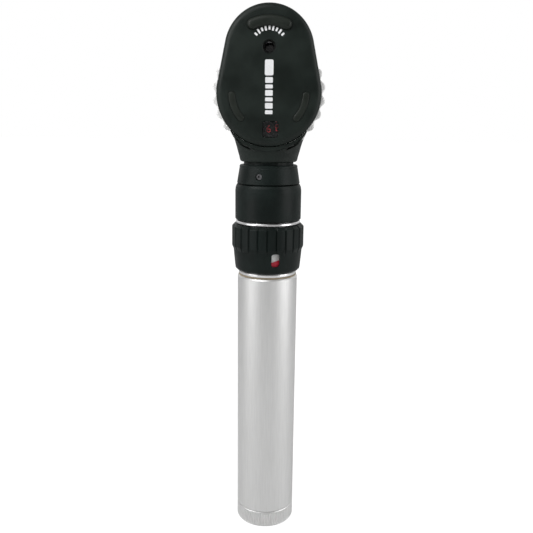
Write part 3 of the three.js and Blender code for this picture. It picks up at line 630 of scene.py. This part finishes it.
def make_cover():
    face, back, wall, gap = COVER.y0, -9.2, 1.4, 0.2
    crown = 0.16             # the face is very slightly domed
    rim = [(back, 0), (face + 1.6, 0), (face + 1.2, 0.05), (face + 0.8, 0.24), (face + 0.47, 0.58),
           (face + 0.22, 1.0), (face + 0.06, 1.5), (face, 2.0)]
    steps = 8
    dome = [(face - crown * (1 - (1 - k / steps) ** 2), 2 + 11.5 * k / steps)
            for k in range(1, steps + 1)]
    obj = egg_loft("rear_cover_detail", rim + dome)
    inner = egg_loft("cover_inner", [(face + wall, 1.5), (back + 1, 1.5)])
    boolean(obj, inner)
    boolean(obj, rod_y("boss", 0, WHEEL_Z, 3, face + 1, COVER.y1), "UNION")
    for side in (-1, 1):
        boolean(obj, rod_y("post", side * SCREW_X, SCREW_Z, 2.6, face + 1, back), "UNION")
    boolean(obj, rod_y("sight", 0, EYE_Z, 2.05, -13, -10))
    countersink = [(face - 0.4, 2.5), (face + 0.1, 2.0)]
    boolean(obj, loft("countersink", [at_depth(circle(0, EYE_Z, r), y) for y, r in countersink]))
    window = Box("readout_window")
    width, height = window.x1 - window.x0 + gap, window.z1 - window.z0 + gap
    centre = window.middle
    boolean(obj, prism("window", rounded_rect(centre.x, centre.z, width, height, 0.7), -13, -10))
    for z, r, pad_width, start, end, _ in PADS.values():
        boolean(obj, prism("recess", bean(z, r, pad_width + 0.24, start, end), -14, face + 0.5))
    sharpen(obj.data, 28)
    finish_piece(obj, "rear_cover")


def make_pad(node, z, r, width, start, end, rise):
    """Rubber pad with a rounded crown."""
    top, side = COVER.y0 - rise, COVER.y0 - rise * 0.25
    sections, steps = [(COVER.y0 + 0.4, 0), (side, 0)], 9  # depth and inset
    for k in range(1, steps + 1):
        t = k / steps * math.pi / 2
        inset = width / 2 * 0.92 * (1 - math.cos(t)) ** 1.1
        sections.append((side + (top - side) * math.sin(t), inset))
    rings = [at_depth(bean(z, r, width - 2 * inset, start, end), y) for y, inset in sections]
    finish_piece(loft(node + "_detail", rings, 50), node)


def make_readout():
    window = Box("readout_window")
    width, height = window.x1 - window.x0, window.z1 - window.z0
    centre = window.middle
    outline = rounded_rect(centre.x, centre.z, width, height, 0.6)
    slim = rounded_rect(centre.x, centre.z, width - 0.3, height - 0.3, 0.5)
    rings = [at_depth(outline, window.y1), at_depth(outline, window.y0 + 0.12),
             at_depth(slim, window.y0)]
    obj = finish_piece(loft("readout_window_detail", rings), "readout_window")
    obj.data.materials[0] = MATERIALS["readout_pane"]


NECK_SECTIONS = [         # height, half width, half depth, and squareness (2 is round)
    (HOUSING.z0, 9.5, 9.5, 2), (HOUSING.z0 + 0.3, 9.77, 9.77, 2), (135.3, 10, 10, 2),
    (136.6, 10.4, 10.4, 2.1), (138.7, 10.97, 10.97, 2), (141, 11.65, 11.3, 2.2),
    (142.3, 12.2, 11.4, 2.4), (144, 13, 11.4, 2.6), (147, 14, 11.4, 3),
]
LIP_FACE = -11.2
LIP_SIDE = [(10.7, 140.93), (11.6, 142.3), (12.6, 144.2)]  # the lip's corners, x and z
POCKET = [(7.9, 139.4), (10.5, 139.5), (10.3, 141.5)]      # hollow below each end of the lip


def make_lip():
    """Crescent lip that follows the cover's lower edge, in front of the lens wheel."""
    x, z = LIP_SIDE[0]
    start = math.atan2(z - WHEEL_Z, x)
    outline = arc(0, WHEEL_Z, WHEEL_R, start, -math.pi - start, 60)
    outline += [(-side, height) for side, height in LIP_SIDE[1:]]
    outline += [(side, height) for side, height in reversed(LIP_SIDE[1:])]
    return prism("lip", outline, LIP_FACE, SLOT_FRONT + 0.4)


def power(value, exponent):
    return math.copysign(abs(value) ** exponent, value)


def make_neck_form():
    rings, steps = [], 160
    turn = [FULL_TURN * i / steps for i in range(steps)]
    for z, width, depth, n in NECK_SECTIONS:
        rings.append([(width * power(math.cos(a), 2 / n), depth * power(math.sin(a), 2 / n), z)
                      for a in turn])
    return loft("neck_form", rings)


def make_housing():
    front, back = SLOT_FRONT, HOUSING.y1
    sections = [(front, 0.3), (5, 0.3), (6.5, 0.45), (8, 0.9), (9.3, 1.7), (10.4, 2.8), (11.3, 4.3),
                (back - 0.2, 6), (back, 8)]
    shell = egg_loft("front_housing_detail", sections)
    boolean(shell, make_neck_form(), "UNION")
    boolean(shell, make_lip(), "UNION")
    # a coarse remesh, smoothed, blends the neck into the head
    remesh = shell.modifiers.new("remesh", "REMESH")
    remesh.mode = "VOXEL"
    remesh.voxel_size = 0.4 * MM
    bake(shell)
    smooth = shell.modifiers.new("smooth", "SMOOTH")
    smooth.factor = 0.5
    smooth.iterations = 10
    bake(shell)
    gap = 0.1
    boolean(shell, egg_loft("cover_space", [(COVER.y0 - 3, -gap), (front - 0.1, -gap)]))
    boolean(shell, prism("ahead", rounded_rect(0, WHEEL_Z + 20, 60, 40, 0.5), -25, front - 0.1))
    boolean(shell, rod_y("slot", 0, WHEEL_Z, SLOT_R, front - 0.2, SLOT_BACK, 160))
    boolean(shell, egg_loft("cavity", [(-4.2, 2.6), (6, 2.6), (8, 3.4), (9.4, 5)]))
    for side in (-1, 1):
        corners = fillet([(side * x, z) for x, z in POCKET], 0.3)
        boolean(shell, prism("pocket", corners, COVER.y0 - 1, -9.8))
    cut_housing_details(shell)
    sharpen(shell.data, 35)
    finish_piece(shell, "front_housing")


def cut_housing_details(shell):
    dial = Box("aperture_dial")
    sleeve = Box("head_sleeve")
    gap, below = 0.3, 130
    bores = [("socket", 8.6, sleeve.z1 + gap, SEGMENTS), ("lamp_way", 4.6, 145, 64)]
    for name, r, top, facets in bores:
        boolean(shell, lathe(name, [(0, below), (r, below), (r, top), (0, top)], facets))
    low, high = dial.z0 - gap, dial.z1 + gap
    slot = lathe("dial_slot", fillet([(0, low), (9.1, low), (9.1, high), (0, high)], 0.2, 2), 96)
    slot.data.transform(Matrix.Translation((0, dial.middle.y * MM, 0)))
    boolean(shell, slot)
    boolean(shell, rod_y("sight_way", 0, EYE_Z, 2.2, SLOT_BACK - 1, -3))
    boolean(shell, rod_y("axle_way", 0, WHEEL_Z, 1.6, SLOT_BACK - 1, -3))
    pane = Box("front_window")
    boolean(shell, prism("pane_way", rounded_rect(0, pane.middle.z, 7.6, 11, 1.6), 8, 14))
    seat = rounded_rect(0, pane.middle.z, 9.2, 12.6, 2.2)
    boolean(shell, prism("pane_seat", seat, HOUSING.y1 - 1.3, 14))
    for side in (-1, 1):
        boolean(shell, rod_y("screw_way", side * SCREW_X, SCREW_Z, 1.3, -10, 8, 32))
        boolean(shell, rod_y("screw_seat", side * SCREW_X, SCREW_Z, 2.3, 8, 14, 48))


def make_bezel():
    box = Box("window_bezel")
    outer, inner = (9, 12.4, 2.1), (7.2, 10.6, 1.4)  # width, height, corner radius
    rounding = [(box.y0, 0), (box.y1 - 0.25, 0), (box.y1 - 0.07, 0.1), (box.y1, 0.3)]
    path = [(outer, y, -inset) for y, inset in rounding]
    path += [(inner, y, inset) for y, inset in reversed(rounding)]
    rings = []
    for (width, height, r), y, grow in path:
        outline = rounded_rect(0, box.middle.z, width + 2 * grow, height + 2 * grow, r + grow)
        rings.append(at_depth(outline, y))
    finish_piece(loft_ring("window_bezel_detail", rings), "window_bezel")


def make_pane():
    box = Box("front_window")
    outline = rounded_rect(0, box.middle.z, box.x1 - box.x0, box.z1 - box.z0, 2.05)
    obj = finish_piece(prism("front_window_detail", outline, box.y0, box.y1), "front_window")
    obj.data.materials[0] = MATERIALS["coated_pane"]


# ---------- lens wheel ----------
def make_rim():
    """Scalloped finger rim with rounded edges."""
    box = Box("wheel_rim")
    y0, y1 = box.y0, box.y1
    steps = LENSES * 16
    turn = [FULL_TURN * i / steps for i in range(steps)]

    def outline(inset):
        points = []
        for a in turn:
            fall = (0.5 + 0.5 * math.cos(LENSES * a)) ** 1.2  # 1 mm deep scallops
            reach = WHEEL_R - fall - inset
            points.append((reach * math.cos(a), WHEEL_Z + reach * math.sin(a)))
        return points

    def bore(inset):
        reach = RIM_BORE_R + inset
        return [(reach * math.cos(a), WHEEL_Z + reach * math.sin(a)) for a in turn]

    rounding = [(0, 0.45), (0.06, 0.22), (0.2, 0.06), (0.45, 0)]
    path = [(outline(inset), y0 + rise) for rise, inset in rounding]
    path += [(outline(inset), y1 - rise) for rise, inset in reversed(rounding)]
    path += [(bore(0.1), y1), (bore(0), y1 - 0.1), (bore(0), y0 + 0.1), (bore(0.1), y0)]
    rings = [at_depth(shape, y) for shape, y in path]
    finish_piece(loft_ring("wheel_rim_detail", rings), "wheel_rim")


def make_numbers():
    """Red and white dioptre numbers round the scale, one for each lens."""
    scale = Box("dioptre_scale")
    values = [0, 1, 2, 3, 4, 5, 6, 8, 10, 12, 15, 20, 40, 25, 20, 15, 10, 8, 6, 5, 4, 3, 2, 1]
    r = WHEEL_Z - Box("readout_window").middle.z
    for i, value in enumerate(values):
        curve = bpy.data.curves.new(f"number_{i:02d}", "FONT")
        curve.body = str(value)
        curve.size = (3.4 if value < 10 else 2.6) * MM
        curve.align_x, curve.align_y = "CENTER", "CENTER"
        curve.extrude = 0.02 * MM
        obj = bpy.data.objects.new(f"dioptre_number_{i:02d}", curve)
        bpy.context.scene.collection.objects.link(obj)
        angle = FULL_TURN * (i - LENS_SHOWN) / LENSES
        upright = Matrix.Rotation(math.pi / 2, 4, "X")
        drop = Matrix.Translation((0, (scale.y0 - 0.03) * MM, -r * MM))
        turn = Matrix.Translation((0, 0, WHEEL_Z * MM)) @ Matrix.Rotation(angle, 4, "Y")
        graph = bpy.context.evaluated_depsgraph_get()
        mesh = bpy.data.meshes.new_from_object(obj.evaluated_get(graph))
        bpy.data.objects.remove(obj)
        mesh.transform(turn @ drop @ upright)
        number = bpy.data.objects.new(f"dioptre_number_{i:02d}", mesh)
        bpy.context.scene.collection.objects.link(number)
        ink = "red_print" if i >= FIRST_RED else "white_print"
        add_detail(number, "lens_wheel", ink)


# ---------- printed marks ----------
def print_shape(name, outline):
    """A thin raised print on the domed face of the cover."""
    face = COVER.y0
    obj = prism(name, outline, face - 0.23, face + 0.1)
    add_detail(obj, "head", "white_print")


def make_marks():
    """Plain marks: an arc of ticks over the sight hole and a column of bars below it."""
    ticks, spread, r = 9, 98, 5.5
    for i in range(ticks):
        angle = math.radians(90 + spread / 2 - spread * i / (ticks - 1))
        tick = rounded_rect(0, 0, 0.6, 1.5 if i % 2 else 1.1, 0.12, 3)
        cx, cz = r * math.cos(angle), EYE_Z + r * math.sin(angle)
        lean = angle - math.pi / 2
        c, s = math.cos(lean), math.sin(lean)
        turned = [(cx + x * c - z * s, cz + x * s + z * c) for x, z in tick]
        print_shape(f"mark_tick_{i}", turned)
    bar_x, top = 0.05, EYE_Z - 3.9
    print_shape("mark_bar_0", rounded_rect(bar_x, top - 2.4, 2.7, 4.8, 0.5))
    z, gap = top - 5.3, 0.5
    for i in range(6):
        height = 1.2 if i % 2 else 1.75
        print_shape(f"mark_bar_{i + 1}", rounded_rect(bar_x, z - height / 2, 2.4, height, 0.3))
        z -= height + gap


# ---------- springs ----------
def make_spring(node, foot, head, wire, turns, y=0.0):
    """Coil of round wire between two [radius, height] ends."""
    steps, sides = int(turns * 32), 10
    rings = []
    for i in range(steps + 1):
        t = i / steps
        r = foot[0] + (head[0] - foot[0]) * t
        z = foot[1] + (head[1] - foot[1]) * t
        angle = FULL_TURN * turns * t
        ring = []
        for k in range(sides):
            a = FULL_TURN * k / sides
            reach = r + wire * math.cos(a)
            ring.append((reach * math.cos(angle), y + reach * math.sin(angle), z + wire * math.sin(a)))
        rings.append(ring)
    return finish_piece(loft(node + "_detail", rings, 60), node)


def make_springs():
    make_spring("battery_spring", (6.6, 2.3), (3.4, 6.6), 0.4, 4)
    detent = Box("detent_spring")
    wire = 0.14
    make_spring("detent_spring", (0.9, detent.z0 + wire), (0.9, detent.z1 - wire), wire, 4,
                detent.middle.y)
    contact = Box("contact_spring")
    wire = 0.22
    obj = make_spring("contact_spring", (2, contact.z0 + wire), (2, contact.z1 - wire), wire, 4)
    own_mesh(obj)


# ---------- pieces that keep their CAD shape ----------
def finish_frame():
    """Gives every CAD piece its finish; the finer meshes made below take the place of some."""
    for name, obj in frame["nodes"].items():
        obj.data.materials.clear()
        obj.data.materials.append(MATERIALS[SLOT_OF[name]])


# ---------- camera, light and floor ----------
def make_camera():
    distance, height, shift = 221.4 * MM, 145.8 * MM, -0.33 * MM
    yaw, pitch, roll = math.radians(1.0), math.radians(12.49), math.radians(0.63)
    focal_length, picture_width = 639.2, 533  # both in pixels
    data = bpy.data.cameras.new("camera")
    data.sensor_width = 36
    data.lens = data.sensor_width * focal_length / picture_width
    data.clip_start, data.clip_end = 0.01, 50
    camera = bpy.data.objects.new("camera", data)
    bpy.context.scene.collection.objects.link(camera)
    spin = Matrix.Rotation(yaw, 4, "Z")
    place = spin @ Matrix.Translation((shift, -distance, height))
    aim = Matrix.Rotation(math.pi / 2 - pitch, 4, "X") @ Matrix.Rotation(roll, 4, "Z")
    camera.matrix_world = place @ aim
    bpy.context.scene.camera = camera


def make_light(name, place, target, size, radiance):
    data = bpy.data.lights.new(name, "AREA")
    data.shape = "RECTANGLE"
    data.size, data.size_y = size
    data.energy = radiance * math.pi * size[0] * size[1]
    light = bpy.data.objects.new(name, data)
    light.location = place
    light.rotation_mode = "QUATERNION"
    light.rotation_quaternion = (Vector(target) - Vector(place)).to_track_quat("-Z", "Y")
    bpy.context.scene.collection.objects.link(light)


def camera_only(material, bright):
    """Shows the surface near white to the camera, and as a plain grey one to every other ray."""
    glow = material.node("Emission", Strength=bright)
    seen = material.node("AddShader")
    shade = material.node("BsdfDiffuse", Color=(0.2, 0.2, 0.2, 1))
    mix = material.node("MixShader")
    path = material.node("LightPath")
    output = material.tree.nodes["Material Output"]
    material.link(glow.outputs[0], seen.inputs[0])
    material.link(shade.outputs[0], seen.inputs[1])
    material.link(path.outputs["Is Camera Ray"], mix.inputs[0])
    material.link(material.bsdf.outputs[0], mix.inputs[1])
    material.link(seen.outputs[0], mix.inputs[2])
    material.link(mix.outputs[0], output.inputs["Surface"])


def make_floor():
    floor_mesh = bpy.data.meshes.new("floor")
    reach = 6
    corners = [(-reach, -reach, 0), (reach, -reach, 0), (reach, reach, 0), (-reach, reach, 0)]
    floor_mesh.from_pydata(corners, [], [(0, 1, 2, 3)])
    floor = bpy.data.objects.new("floor", floor_mesh)
    bpy.context.scene.collection.objects.link(floor)
    pale = Material("floor", (0.75, 0.75, 0.75), roughness=0.9)
    pale.vary_roughness(pale.noise(20, 2), 0.85, 0.95)
    camera_only(pale, 0.98)
    floor_mesh.materials.append(pale.data)


def make_studio():
    world = bpy.data.worlds.new("studio")
    world.use_nodes = True
    bpy.context.scene.world = world
    tree = world.node_tree
    tree.nodes["Background"].inputs["Color"].default_value = (1, 1, 1, 1)
    direction = tree.nodes.new("ShaderNodeTexCoord")
    parts = tree.nodes.new("ShaderNodeSeparateXYZ")
    brightness = tree.nodes.new("ShaderNodeMapRange")
    for key, value in zip(("From Min", "From Max", "To Min", "To Max"), (-0.3, 0.7, *WORLD_LIGHT)):
        brightness.inputs[key].default_value = value
    tree.links.new(direction.outputs["Generated"], parts.inputs[0])
    tree.links.new(parts.outputs["Y"], brightness.inputs["Value"])
    tree.links.new(brightness.outputs["Result"], tree.nodes["Background"].inputs["Strength"])
    seen = tree.nodes.new("ShaderNodeBackground")
    seen.inputs["Color"].default_value = (1, 1, 1, 1)
    path = tree.nodes.new("ShaderNodeLightPath")
    mix = tree.nodes.new("ShaderNodeMixShader")
    tree.links.new(path.outputs["Is Camera Ray"], mix.inputs[0])
    tree.links.new(tree.nodes["Background"].outputs[0], mix.inputs[1])
    tree.links.new(seen.outputs[0], mix.inputs[2])
    tree.links.new(mix.outputs[0], tree.nodes["World Output"].inputs[0])
    for light in LIGHTS:
        make_light(*light)
    make_floor()
    bpy.context.scene.view_settings.view_transform = "Standard"


# ---------- build ----------
make_camera()
finish_frame()
make_end_cap()
make_tube()
make_ring("tube_gasket", 0.1)
make_ring("tube_bezel", 0.25)
make_coupling()
make_ring("indicator_sleeve", 0.1, grow=SLEEVE_GROWTH)
make_indicator_band()
make_control_collar()
make_base_collar()
make_neck_ring()
make_cover()
for pad_node, shape in PADS.items():
    make_pad(pad_node, *shape)
make_readout()
make_housing()
make_bezel()
make_pane()
make_rim()
make_numbers()
make_marks()
make_springs()
make_studio()

bpy.context.view_layer.update()
